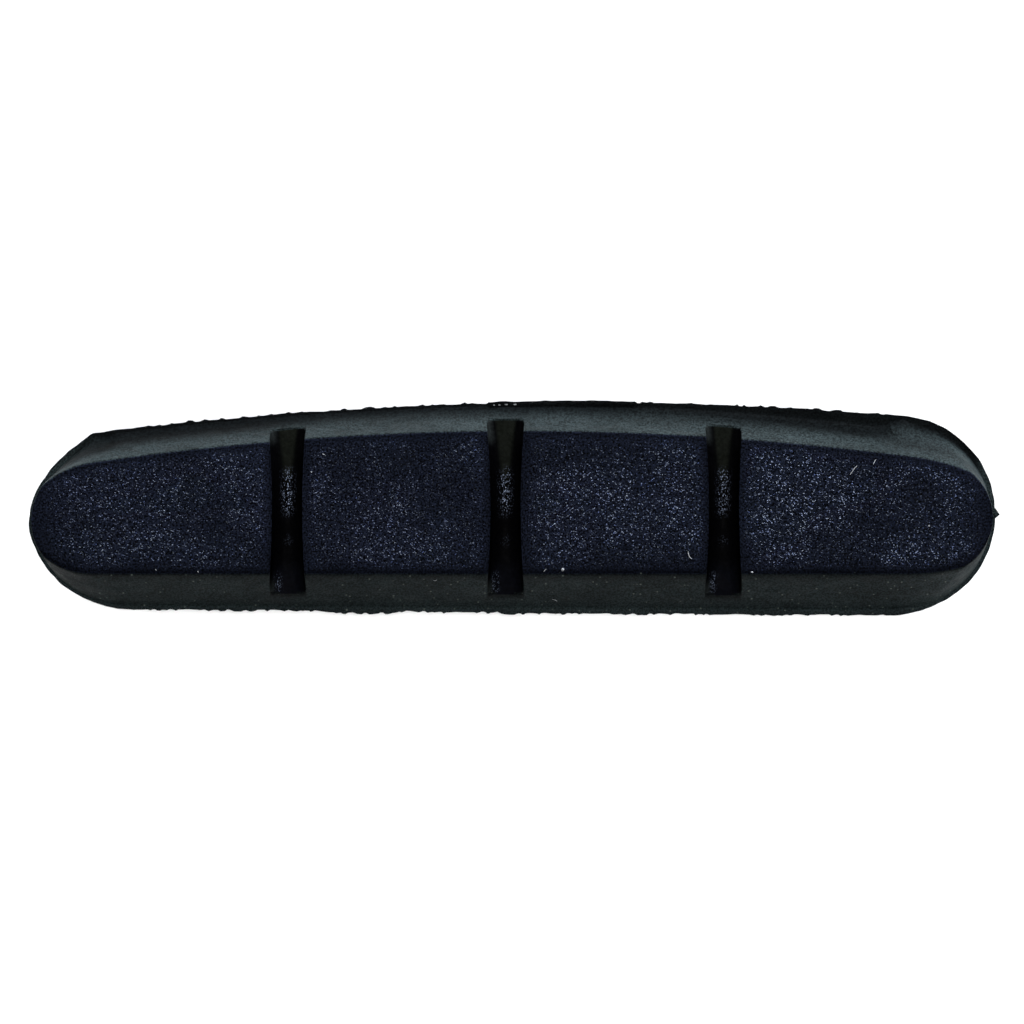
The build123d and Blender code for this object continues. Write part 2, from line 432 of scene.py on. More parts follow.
class GrooveColumns:
    """The shared columns of the grid between the two ends.

    Along the pad, a groove is a U profile: mouth arc, wall, floor corner arc, floor, and the same
    mirrored. Its half width, floor radius and depth go from their waist values to their end values
    with the square of y, so every column's x is its centre plus shares of those three, and the
    columns of the blocks between are spread evenly from mouth to mouth."""

    def __init__(self, size, count, reach_y, reach_x):
        self.size = size
        self.reach_y = reach_y
        first = size.centre - size.pitch * (count - 1) / 2.0
        centres = first + size.pitch * np.arange(count)
        self.nominal_edge = self.half_width(NOMINAL_SHARE * reach_y)
        edge = self.nominal_edge + size.mouth_radius
        starts = np.concatenate(([-reach_x], centres + edge))
        stops = np.concatenate((centres - edge, [reach_x]))
        starts_move = np.concatenate(([0.0], np.ones(count)))
        stops_move = np.concatenate((-np.ones(count), [0.0]))
        tables = []
        for index in range(count + 1):
            ends = index == 0, index == count
            tables.append(
                self.block(starts[index], stops[index], starts_move[index], stops_move[index], ends)
            )
            if index < count:
                tables.append(self.groove(centres[index]))
        table = np.concatenate(tables, axis=1)
        self.centre, self.strip, self.corner, self.draft, self.mouth = table[: MOUTH + 1]
        self.edge, self.lift, self.wall, self.drop, self.zone = table[EDGE:]
        self.x = self.place(np.full(self.centre.shape, NOMINAL_SHARE * reach_y))

    @staticmethod
    def block(start, stop, start_move, stop_move, ends):
        """Even columns of one block; its own mouths are left to the grooves beside it."""
        count = int(round((stop - start) / BLOCK_COLUMN_STEP))
        t = np.linspace(0.0, 1.0, count + 1)[0 if ends[0] else 1 : None if ends[1] else -1]
        table = np.zeros((TABLE_ROWS, t.size))
        table[CENTRE] = start + (stop - start) * t
        table[EDGE] = start_move * (1.0 - t) + stop_move * t
        return table

    @staticmethod
    def groove(centre):
        """Columns of one groove from its left mouth to its right mouth."""
        mouth = np.linspace(0.0, np.pi / 2.0, LIP_COLUMNS)
        lip = np.zeros((TABLE_ROWS, mouth.size))
        lip[[STRIP, CORNER, DRAFT]] = -1.0
        lip[MOUTH] = np.sin(mouth) - 1.0
        lip[WALL] = 1.0
        lip[DROP] = 1.0 - np.cos(mouth)
        lip[ZONE] = ON_WALL
        wall = np.linspace(1.0, 0.0, WALL_COLUMNS + 2)[1:-1]
        sheer = np.zeros((TABLE_ROWS, wall.size))
        sheer[[STRIP, CORNER]] = -1.0
        sheer[DRAFT] = -wall
        sheer[WALL] = wall
        sheer[DROP] = 1.0
        sheer[ZONE] = ON_WALL
        turn = np.linspace(np.pi / 2.0, 0.0, FLOOR_CORNER_COLUMNS)
        bend = np.zeros((TABLE_ROWS, turn.size))
        bend[STRIP] = -1.0
        bend[CORNER] = -np.sin(turn)
        bend[LIFT] = 1.0 - np.cos(turn)
        bend[ZONE] = ON_FLOOR
        floor = np.linspace(-1.0, 1.0, FLOOR_COLUMNS + 2)[1:-1]
        flat = np.zeros((TABLE_ROWS, floor.size))
        flat[STRIP] = floor
        flat[ZONE] = ON_FLOOR
        half = np.concatenate((lip, sheer, bend), axis=1)
        other = half[:, ::-1].copy()
        other[STRIP : MOUTH + 1] *= -1.0
        table = np.concatenate((half, flat, other), axis=1)
        table[CENTRE] = centre
        return table

    def blend(self, y, waist, end):
        """A size that goes from waist to end with the square of y."""
        return waist + (end - waist) * (y / self.reach_y) ** 2

    def half_width(self, y):
        """Half width of a groove at y."""
        return self.blend(y, self.size.waist_width, self.size.end_width) / 2.0

    def floor_radius(self, y):
        """Radius of a groove's floor corners at y."""
        waist = (self.size.waist_width - self.size.waist_floor_strip) / 2.0
        return self.blend(y, waist, self.size.end_floor_radius)

    def floor_height(self, y, face_z):
        """Height of a groove's floor at y."""
        return face_z - self.blend(y, self.size.waist_depth, self.size.end_depth)

    def place(self, y):
        """x of every column where it passes y."""
        half, radius = self.half_width(y), self.floor_radius(y)
        return (
            self.centre
            + self.strip * (half - radius - self.size.wall_draft)
            + self.corner * radius
            + self.draft * self.size.wall_draft
            + self.mouth * self.size.mouth_radius
            + self.edge * (half - self.nominal_edge)
        )

    def cut(self, y, z, face_z):
        """Heights lowered into the grooves: floor and corner columns go down to the floor plus
        their share of the corner radius, wall and mouth columns lie between that and the surface."""
        radius = self.floor_radius(y)
        floor = self.floor_height(y, face_z)
        mouth = np.clip(z - floor - radius, 0.0, self.size.mouth_radius)
        foot = floor + radius
        side = foot + self.wall * (z - mouth - foot) + (1.0 - self.drop) * mouth
        bottom = floor + self.lift * radius
        lowered = np.minimum(z, np.where(self.zone == ON_FLOOR, bottom, side))
        return np.where(self.zone == ON_BLOCK, z, lowered)

    def gap(self, x, y):
        """Distance along the pad from the nearest groove's side, below nothing inside a groove."""
        gaps = [np.abs(x - centre) for centre in np.unique(self.centre[self.zone != ON_BLOCK])]
        return np.minimum.reduce(gaps) - self.half_width(y)


# A corner's curve takes at most this share of a run, and a run is never counted as shorter than this
BEND_LIMIT = 0.9
LEAST_RUN = 1.0e-9


def rounded_profile(corners, setbacks, bends, runs):
    """Rows through a list of corner rows: straight runs, and at each corner a quadratic Bezier
    curve that begins and ends the given setbacks from it, within a limited share of the run."""
    rows, starts, stops = [], [], []
    for index, corner in enumerate(corners):
        before, after = setbacks[index]
        start = stop = corner
        if bends[index] > 1:
            back = corners[index - 1] - corner
            on = corners[index + 1] - corner
            back_length = np.linalg.norm(back, axis=-1, keepdims=True) + LEAST_RUN
            on_length = np.linalg.norm(on, axis=-1, keepdims=True) + LEAST_RUN
            start = corner + back * np.minimum(before / back_length, BEND_LIMIT)
            stop = corner + on * np.minimum(after / on_length, BEND_LIMIT)
        starts.append(start)
        stops.append(stop)
    for index, corner in enumerate(corners):
        t = np.linspace(0.0, 1.0, bends[index])[:, None, None]
        rows.append((1.0 - t) ** 2 * starts[index] + 2.0 * t * (1.0 - t) * corner + t**2 * stops[index])
        if index + 1 < len(corners):
            t = np.linspace(0.0, 1.0, runs[index] + 2)[1:-1, None, None]
            rows.append((1.0 - t) * stops[index] + t * starts[index + 1])
    return np.concatenate(rows)


def window(x, start, stop, rise, fall):
    """A plateau along a line: up from start over rise, down to stop over fall."""
    return ramp(x, start, start + rise) * (1.0 - ramp(x, stop - fall, stop))


def bell(x, place, spread):
    """A smooth bump about a place: e to the minus square of the distance over the spread."""
    return np.exp(-(((x - place) / spread) ** 2))


def outward(outline, sign):
    """Unit normals of a half outline in plan, out of the pad, straight along it at the tips."""
    along = np.gradient(outline, axis=0)
    normal = sign * np.stack((-along[:, 1], along[:, 0]), axis=-1)
    normal /= np.hypot(*normal.T)[:, None]
    normal[0], normal[-1] = (-1.0, 0.0), (1.0, 0.0)
    return normal


def at_height(outline, z):
    """A plan outline as points at one height, or at a height for each column."""
    return np.concatenate((outline, np.broadcast_to(z, len(outline))[:, None]), axis=1)


# Flash on the rim, in millimetres: strength and step of the noises that make it ragged and that curl
# it, its crumbs, its lifted strip, and where it is wider on the lower side and at the right tip.
# Windows give start, stop, rise and fall along the pad.
SLOW_RAGGED, FAST_RAGGED, PLAIN_CURL = (0.4, 1.3), (0.4, 0.45), (0.03, 0.8)
CRUMB_WIDTH, CRUMB_STEP, CRUMB_RISE = 0.08, 0.24, (0.0, 0.7)
CRUMBS_FADE = (19.5, 22.5)
LIFTED_STRIP = (-1.5, 7.15, 0.7, 0.12)
LIFTED_WIDTH = 0.11
LIFTED_CURL = 0.12
LOWER_STRETCHES = (
    (0.12, (-11.5, -6.0, 1.0, 0.8)),
    (0.05, (-6.2, -1.2, 0.8, 0.3)),
    (0.10, (-0.9, 23.5, 0.8, 2.0)),
)
SPUR_X, SPUR_SPREAD, SPUR_WIDTH = -1.3, 0.13, 0.10
NIB_Y, NIB_SPREAD, NIB_WIDTH = -0.31, 0.15, 0.33
NIB_FROM_X = 26.0


def flash_width(outline, upper, marks):
    """Width of the ragged fin along one half of the rim: a mean with two scales of lattice noise,
    crumbs of a third scale away from the ends and the lifted strip, and the few places where the
    mould let more rubber out: the strip, wider stretches and a spur below, and a nib at the right."""
    spot = at_height(outline, 0.0)
    x, y = outline.T
    ragged = wobble(spot, SLOW_RAGGED, SEED) + wobble(spot, FAST_RAGGED, SEED + 1)
    crumbs = CRUMB_WIDTH * ramp(lattice_noise(spot, CRUMB_STEP, SEED + 6), *CRUMB_RISE)
    width = marks.flash_width * (1.0 + ragged) + crumbs * (1.0 - ramp(np.abs(x), *CRUMBS_FADE))
    if upper:
        width += (LIFTED_WIDTH - crumbs) * window(x, *LIFTED_STRIP)
    else:
        width += sum(wider * window(x, *stretch) for wider, stretch in LOWER_STRETCHES)
        width += SPUR_WIDTH * bell(x, SPUR_X, SPUR_SPREAD)
    return width + NIB_WIDTH * bell(y, NIB_Y, NIB_SPREAD) * (x > NIB_FROM_X)


def flash_curl(outline, upper):
    """How far the fin stands up: a little noise, and the lifted strip on the crowned side."""
    curl = wobble(at_height(outline, 0.0), PLAIN_CURL, SEED + 2)
    if upper:
        curl += LIFTED_CURL * window(outline[:, 0], *LIFTED_STRIP)
    return curl


# Small roundings of the section, in millimetres: how far the root reaches up the flank at the tips and
# on the lower side, and out over the ledge there; how far inside the rim the fin begins, how its lower
# side draws back, and how thick its lip is; and the corners of flange, neck and rail
TIP_FLARE = 0.3
LOWER_FLARE = 0.35
PLAIN_TOE = 0.12
FIN_INSET = 0.03
FIN_DRAWN_BACK = 0.9
FIN_LIP = 0.06
FLANGE_ROUNDING = 0.1
NECK_ROUNDING = 0.2
RAIL_ROUNDING = 0.15

# Columns past either tip, as shares of an arch, over which the crowned flank takes on its own lean
OWN_LEAN = (1.0, 1.5)


def half_section(levels, heights, flash, curl, sign, size, marks):
    """One half of the pad, from the middle of the friction face over its edge, down the flank, out
    over the ledge and the flash, round flange, neck and rail to the middle of the back."""
    face, foot, rim, neck, rail, back = levels
    upper = sign > 0.0
    columns = np.arange(len(rim))
    tip_share = np.minimum(columns, columns[::-1]) / float(ARCH_COLUMNS)
    along = ramp(tip_share, 0.0, 1.0)[:, None]
    flare = TIP_FLARE + along * ((marks.flare if upper else LOWER_FLARE) - TIP_FLARE)
    toe = PLAIN_TOE + along * ((marks.toe if upper else PLAIN_TOE) - PLAIN_TOE)
    if upper:
        inner = ramp(tip_share, *OWN_LEAN)[:, None]
        foot = foot + inner * (face + outward(face, sign) * size.upper_draft - foot)
    normal = outward(rim, sign)
    fin = normal * flash[:, None]
    middle = np.stack((face[:, 0], heights["middle_y"]), axis=-1)
    back_middle = np.stack((back[:, 0], np.zeros(len(back))), axis=-1)
    block_z, flange_z, neck_z = heights["block"], heights["flange"], heights["neck"]
    edge = size.face_edge_radius
    corners = (
        (middle, heights["face"], 0.0, 0.0, 1, FACE_RUN),
        (face, heights["face"], edge, edge, EDGE_BEND, FLANK_RUN),
        (foot, block_z, flare, toe, ROOT_BEND, LEDGE_RUN),
        (rim - FIN_INSET * normal, block_z, 0.0, 0.0, 1, 1),
        (rim + fin, block_z + curl, 0.0, 0.0, 1, 0),
        (rim + fin * FIN_DRAWN_BACK, block_z + curl - FIN_LIP, 0.0, 0.0, 1, 1),
        (rim, block_z - marks.flash_thickness, 0.0, 0.0, 1, 2),
        (rim, flange_z, FLANGE_ROUNDING, FLANGE_ROUNDING, SMALL_BEND, 2),
        (neck, flange_z, NECK_ROUNDING, NECK_ROUNDING, SMALL_BEND, 2),
        (neck, neck_z, 0.0, 0.0, 1, 1),
        (rail, neck_z, RAIL_ROUNDING, RAIL_ROUNDING, SMALL_BEND, 2),
        (rail, size.rail_chamfer, 0.0, 0.0, 1, 0),
        (back, 0.0, 0.0, 0.0, 1, BACK_RUN),
        (back_middle, 0.0, 0.0, 0.0, 1, 0),
    )
    rows = [at_height(plan, z) for plan, z, *rest in corners]
    setbacks = [(before, after) for plan, z, before, after, *rest in corners]
    bends = [corner[4] for corner in corners]
    runs = [corner[5] for corner in corners]
    return rounded_profile(rows, setbacks, bends, runs)


# Painted shade at the root of the flanks, in millimetres: the painted shade line under the lower friction
# edge, then along the crowned side where the root narrows, passes into the ledge and fades out, and last
# its rows there
LOWER_LINE_SHADE = 0.6
LOWER_LINE_REACH = 0.5
ROOT_MIDDLE_X = 2.0
ROOT_NARROWS = (4.0, 20.0)
ROOT_INTO_LEDGE = (19.5, 24.5)
ROOT_RIGHT_FADE = (26.3, 27.0)
ROOT_LEFT_FADE = (23.5, 25.2)
LEDGE_SHADE_ROWS = (FLANK_ROWS - 9, FLANK_ROWS - 3)

# Where the step of the root's painted shade begins and ends on the crowned side: the largest share of the
# flank's width in plan, the distance from the friction edge at the pad's middle, and how much less it is
# away from there
ROOT_BEGINS = (0.2, 0.42, 0.1)
ROOT_ENDS = (0.92, 1.54, 0.52)


def root_bound(whole, away, most, middle, less):
    """Distance from the friction edge to a bound of the root: its middle value, less what it loses
    away from the middle, and at most a share of the flank's width."""
    return np.minimum(most * whole, middle - less * away)


def root_shade(section, face, rim, upper):
    """Painted shade on a flank, from 0 to 1: how far its skin colour gives way to the darker root colour
    where light falls off. On the lower side that is a line just under the friction edge. On the crowned
    side it is a smooth step of the distance in plan from the friction edge, sooner away from the pad's
    middle, which passes into the ledge round the right end and fades at both tips."""
    gone = np.hypot(*np.moveaxis(section[..., :2] - face, -1, 0))
    order = np.arange(len(section))[:, None]
    on_flank = (order >= SKIN_ROWS) & (order < FLASH_ROWS)
    if not upper:
        return LOWER_LINE_SHADE * (1.0 - ramp(gone, 0.0, LOWER_LINE_REACH)) * on_flank
    whole = np.hypot(*(rim - face).T)
    x = rim[:, 0]
    away = ramp(np.abs(x - ROOT_MIDDLE_X), *ROOT_NARROWS)
    start, stop = root_bound(whole, away, *ROOT_BEGINS), root_bound(whole, away, *ROOT_ENDS)
    shade = ramp(gone, start, stop) * (1.0 - ramp(-x, *ROOT_LEFT_FADE))
    shade += ramp(x, *ROOT_INTO_LEDGE) * (ramp(order, *LEDGE_SHADE_ROWS) - shade)
    return shade * (1.0 - ramp(x, *ROOT_RIGHT_FADE)) * on_flank


def pad_levels(size, middle_x):
    """Both halves of the six outlines that the section passes through, from the top: friction face,
    foot of the block, rim of the flange, neck, rail and back."""
    half_length, half_width = size.length / 2.0, size.width / 2.0
    foot_low, foot_apex = size.lower_lip - half_width, half_width - size.upper_lip
    left_end = size.left_end_excess, size.group.left_fullness
    face = pad_halves(
        middle_x,
        half_length - size.end_lip - size.end_draft,
        foot_low + size.lower_draft,
        0.0,
        crowned_side(size.face_crown_apex, foot_apex - size.upper_draft, size.face_crown_radius),
        size.face_left_end_excess,
        size.group.face_left_fullness,
        (size.face_shoulder, size.face_shoulder),
    )
    foot = pad_halves(
        middle_x,
        half_length - size.end_lip,
        foot_low,
        size.lower_edge_rise,
        crowned_side(size.crown_apex, foot_apex, size.crown_radius - size.upper_lip),
        *left_end,
        (size.face_shoulder, size.lower_shoulder),
    )
    rim = pad_halves(
        middle_x,
        half_length,
        -half_width,
        size.lower_edge_rise,
        crowned_side(size.crown_apex, half_width, size.crown_radius),
        *left_end,
        (size.upper_shoulder, size.lower_shoulder),
    )
    rail_length, rail_width = half_length - size.rail_end_setback, half_width - size.rail_setback
    notch = half_length - size.notch_from_right_end, -rail_width, size.notch_radius
    radius, bevel = size.rail_corner_radius, size.rail_chamfer
    neck = rail_halves(middle_x, rail_length, rail_width - size.lip_slot_depth, radius, notch)
    rail = rail_halves(middle_x, rail_length, rail_width, radius, notch)
    back = rail_halves(middle_x, rail_length - bevel, rail_width - bevel, radius - bevel, notch)
    return face, foot, rim, neck, rail, back


def once_round(upper, lower):
    """Rows of both halves in one turn round the pad: down the upper half and back up the lower one,
    without the two middle rows that they share."""
    return np.concatenate((upper, lower[-2:0:-1]))


def pad_sections(size, marks, levels):
    """Rows once round the pad, and the painted shade of its flanks' roots in the same rows."""
    face, rim = levels[0], levels[2]
    flange_z = size.rail_thickness + size.neck_height
    heights = {
        "face": size.height,
        "block": flange_z + size.flange_thickness,
        "flange": flange_z,
        "neck": size.rail_thickness,
        "middle_y": (face[0][:, 1] + face[1][:, 1]) / 2.0,
    }
    halves, shades = [], []
    for half, sign in enumerate((1.0, -1.0)):
        upper = sign > 0.0
        outlines = [level[half] for level in levels]
        flash = flash_width(rim[half], upper, marks)
        curl = flash_curl(rim[half], upper)
        curl[[0, -1]] = flash_curl(rim[0], False)[[0, -1]]
        halves.append(half_section(outlines, heights, flash, curl, sign, size, marks))
        shades.append(root_shade(halves[-1], face[half], rim[half], upper))
    return once_round(*halves), once_round(*shades)


# The friction face, in millimetres from its margins: where its grain sets in, where its block's pillow
# levels out, where its relief is at full height and where its painted shade margin ends; a tip counts for
# less
GRAIN_SETS_IN = (0.1, 0.9)
PILLOW_REACH = 0.9
RELIEF_REACH = 0.4
MARGIN_REACH = 0.8
TIP_WEIGHT = 0.35

# Its relief: strength and step of the two grains and of the slow wave, the share of the grains that is
# left at the margins, and the distances inside the rim and the margins over which the pillow sets in
COARSE_GRAIN, FINE_GRAIN, SLOW_WAVE = (0.6, 0.45), (0.4, 0.22), (0.8, 3.0)
MARGIN_GRAIN = 0.35
PILLOW_INSIDE_RIM = (-0.05, 0.25)
PILLOW_INSIDE_MARGIN = (0.0, 0.05)


def face_relief(points, gap, rim_gap, marks):
    """Height of the friction face over its plane: grain of two scales that is weaker near the margins,
    and a slow wave, less the drop of each block's pillow towards its edges."""
    grain = wobble(points, COARSE_GRAIN, SEED + 3) + wobble(points, FINE_GRAIN, SEED + 4)
    grain *= MARGIN_GRAIN + (1.0 - MARGIN_GRAIN) * ramp(gap, *GRAIN_SETS_IN)
    grain += wobble(points, SLOW_WAVE, SEED + 5)
    relief = marks.grain * grain * ramp(gap, 0.0, RELIEF_REACH)
    pillow = marks.pillow * (1.0 - ramp(gap, 0.0, PILLOW_REACH)) * ramp(rim_gap, *PILLOW_INSIDE_RIM)
    return relief - pillow * ramp(gap, *PILLOW_INSIDE_MARGIN)


# Painted light on the groove floors, in millimetres: across the pad where the painted floor light and the
# painted bluish reflection set in and where the left walls get painted light, the floor light's half width
# and how it grows along y, and the painted glints as strength, window along y, and place and spread beside
# the groove's middle
FLOOR_LIGHT_SETS_IN = (1.2, 2.4)
FLOOR_LIGHT_HALF_WIDTH, FLOOR_LIGHT_FROM_Y, FLOOR_LIGHT_GROWTH = 0.18, 1.6, 0.10
FLOOR_LIGHT_EDGE = (-0.08, 0.16)
BLUE_SETS_IN = (2.6, 4.0)
UPPER_LIT, LOWER_LIT = (3.4, 4.2), (3.9, 4.5)
GLINT_SPOTS = (
    (1.0, (-0.7, 2.5, 1.1, 0.9), 0.0, 0.23),
    (0.1, (-2.3, -1.4, 0.4, 0.4), 0.0, 0.2),
    (0.5, (-5.0, -3.5, 0.5, 0.5), -0.58, 0.15),
)

# The lift on the floor's corner from which it counts as wall, as a share of the corner's radius; and, on
# the flank under a groove's lower end, the height over which a painted shade run-out fades, and its shade
WALL_LIFT = 0.35
RUN_OUT_FALL = 1.0
RUN_OUT_SHADE = 0.9


def groove_tints(columns, x, y):
    """Shares of the groove's painted light on the shared columns: painted light about the floor's middle by
    the crowned side, a painted bluish reflection by the lower side, painted glints between, and painted
    light on the left walls at the ends."""
    floor = (columns.zone == ON_FLOOR) * (1.0 - columns.lift)
    aside = x - columns.centre
    lit_half_width = FLOOR_LIGHT_HALF_WIDTH + FLOOR_LIGHT_GROWTH * (y - FLOOR_LIGHT_FROM_Y)
    in_floor_light = ramp(y, *FLOOR_LIGHT_SETS_IN) * (1.0 - ramp(np.abs(aside) - lit_half_width, *FLOOR_LIGHT_EDGE))
    glints = sum(
        strength * window(y, *stretch) * bell(aside, place, spread)
        for strength, stretch, place, spread in GLINT_SPOTS
    )
    # Painted light on the left walls near both open ends
    wall = (columns.zone == ON_FLOOR) * ramp(columns.lift, 0.0, WALL_LIFT) + (columns.zone == ON_WALL)
    lit = (aside < 0.0) * (ramp(y, *UPPER_LIT) + ramp(-y, *LOWER_LIT))
    return {
        "dull_floor": floor * in_floor_light,
        "blue_floor": floor * ramp(-y, *BLUE_SETS_IN),
        "floor_glint": floor * glints,
        "lit_wall": wall * lit,
    }


# Strength of the grain's painted glints at the left, and the steps by which it grows: how much more, from x
# to x
LEFT_GRAIN = 0.7
GRAIN_STEPS = ((0.28, (-4.0, 10.0)), (0.2, (12.0, 15.0)))

# The painted shade line round the face, below and above its middle; the flash's share of its own colour
# where it isn't lifted; and how deep a point is cut where the grain ends and where it counts as in a groove
LINE_BELOW, LINE_ABOVE = 1.0, 0.6
PLAIN_FIN = 0.3
GRAIN_CUT, GROOVE_CUT = 0.01, 0.05


def grain_strength(x):
    """Strength of the grain's painted glints along the pad, which grows in smooth steps towards the right.
    """
    return LEFT_GRAIN + sum(more * ramp(x, *stretch) for more, stretch in GRAIN_STEPS)


def pad_surface(size, grooves, groove_count, marks):
    """Points and attributes of the whole insert on one grid: rows go round the section, columns go
    from the left tip to the right tip. Returns (rows, columns, 3), the attributes, and which points
    lie inside a groove."""
    reach_y, reach_x = size.width / 2.0 + grooves.overrun, size.length / 2.0 - END_REACH
    columns = GrooveColumns(grooves, groove_count, reach_y, reach_x)
    shared = slice(END_COLUMNS, END_COLUMNS + len(columns.x))
    levels = pad_levels(size, columns.x)
    points, root = pad_sections(size, marks, levels)
    grid = points.shape[:2]
    half_rows = np.arange(len(points) // 2 + 1)
    row = np.broadcast_to(once_round(half_rows, half_rows)[:, None], grid)

    def on_grid(values, ends=0.0):
        """Values of the shared columns on the whole grid, with one value at both ends."""
        whole = np.full(grid, ends)
        whole[:, shared] = values
        return whole

    groove_y = points[:, shared, 1]
    points[:, shared, 0] = columns.place(groove_y)
    x, y = points[..., 0], points[..., 1]
    upper_edge, lower_edge = levels[0][0][:, 1], levels[0][1][:, 1]
    rim_gap = np.minimum(upper_edge - y, y - lower_edge)
    groove_gap = on_grid(columns.gap(x[:, shared], groove_y), np.inf)
    tip_gap = TIP_WEIGHT * (size.length / 2.0 - size.end_lip - size.end_draft - np.abs(x))
    on_face = row < RELIEF_ROWS
    gap = np.clip(np.minimum.reduce((rim_gap, groove_gap, tip_gap)), 0.0, None) * on_face
    points[..., 2] += face_relief(points, gap, rim_gap, marks) * on_face

    uncut = points[:, shared, 2].copy()
    points[:, shared, 2] = columns.cut(groove_y, uncut, size.height)
    drop = on_grid((columns.zone != ON_BLOCK) * (uncut - points[:, shared, 2]))
    below_floor = columns.floor_height(groove_y, size.height) - uncut
    # Painted shade on the flank below a groove's lower end, fading with the height under its floor
    painted_run_out = (columns.zone == ON_FLOOR) * (1.0 - ramp(below_floor, 0.0, RUN_OUT_FALL)) * (groove_y < 0.0)

    # Painted shade line along the friction edge, darker below the face's middle, where light falls off
    painted_edge_line = np.where(y < (upper_edge + lower_edge) / 2.0, LINE_BELOW, LINE_ABOVE)
    painted_edge_line = painted_edge_line * ((row > FACE_ROWS) & (row < OUTLINE_ROWS))
    on_fin = (row >= LEDGE_ROWS) & (row < FLASH_ROWS)
    lifted = window(x, *LIFTED_STRIP) * (y > 0.0)
    attributes = {
        "grain_area": ramp(gap, *GRAIN_SETS_IN) * (drop < GRAIN_CUT) * grain_strength(x),
        "face_skin": row < SKIN_ROWS,
        "face_margin": (1.0 - ramp(gap, 0.0, MARGIN_REACH)) * on_face + painted_edge_line,
        "root_shade": np.maximum(root, RUN_OUT_SHADE * on_grid(painted_run_out)),
        "flash_fin": on_fin * (PLAIN_FIN + (1.0 - PLAIN_FIN) * lifted),
    }
    for name, values in groove_tints(columns, x[:, shared], groove_y).items():
        attributes[name] = on_grid(values)
    return points, attributes, drop > GROOVE_CUT


def grid_faces(rows, columns):
    """Quads of a grid that is closed from its last row to its first."""
    index = np.arange(rows * columns).reshape(rows, columns)
    below = np.roll(index, -1, axis=0)
    return np.stack((index[:, :-1], index[:, 1:], below[:, 1:], below[:, :-1]), axis=-1).reshape(-1, 4)


# Points closer than this are one, and shorter edges are dropped, in metres; edges bent by more than
# these degrees stay sharp
MERGE_DISTANCE, LEAST_EDGE = 2.0e-7, 1.0e-8
INSERT_SHARP, LINT_SHARP = 50.0, 80.0


def closed_mesh(name, points, faces, attributes, sharp_angle, second_finish=None):
    """A mesh from points in millimetres: seams and poles merged, faces turned outwards, and the
    second material on faces whose points all have the second finish."""
    mesh = bpy.data.meshes.new(name)
    mesh.from_pydata(points.reshape(-1, 3) * MM, [], faces)
    if second_finish is not None:
        chosen = second_finish.ravel()[faces].all(axis=1)
        mesh.polygons.foreach_set("material_index", chosen.astype(np.int32))
    for key, values in attributes.items():
        layer = mesh.attributes.new(key, "FLOAT", "POINT")
        layer.data.foreach_set("value", values.astype(np.float32).ravel())
    work = bmesh.new()
    work.from_mesh(mesh)
    bmesh.ops.remove_doubles(work, verts=work.verts, dist=MERGE_DISTANCE)
    bmesh.ops.dissolve_degenerate(work, edges=work.edges, dist=LEAST_EDGE)
    if work.calc_volume(signed=True) < 0.0:
        bmesh.ops.reverse_faces(work, faces=work.faces)
    work.to_mesh(mesh)
    work.free()
    mesh.shade_smooth()
    mesh.set_sharp_from_angle(angle=np.radians(sharp_angle))
    return mesh


def add_piece(name, mesh, materials):
    """An object at the origin that rides on the frame's one body."""
    for material in materials:
        mesh.materials.append(material)
    piece = bpy.data.objects.new(name, mesh)
    bpy.context.scene.collection.objects.link(piece)
    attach(piece, "root")
    return piece


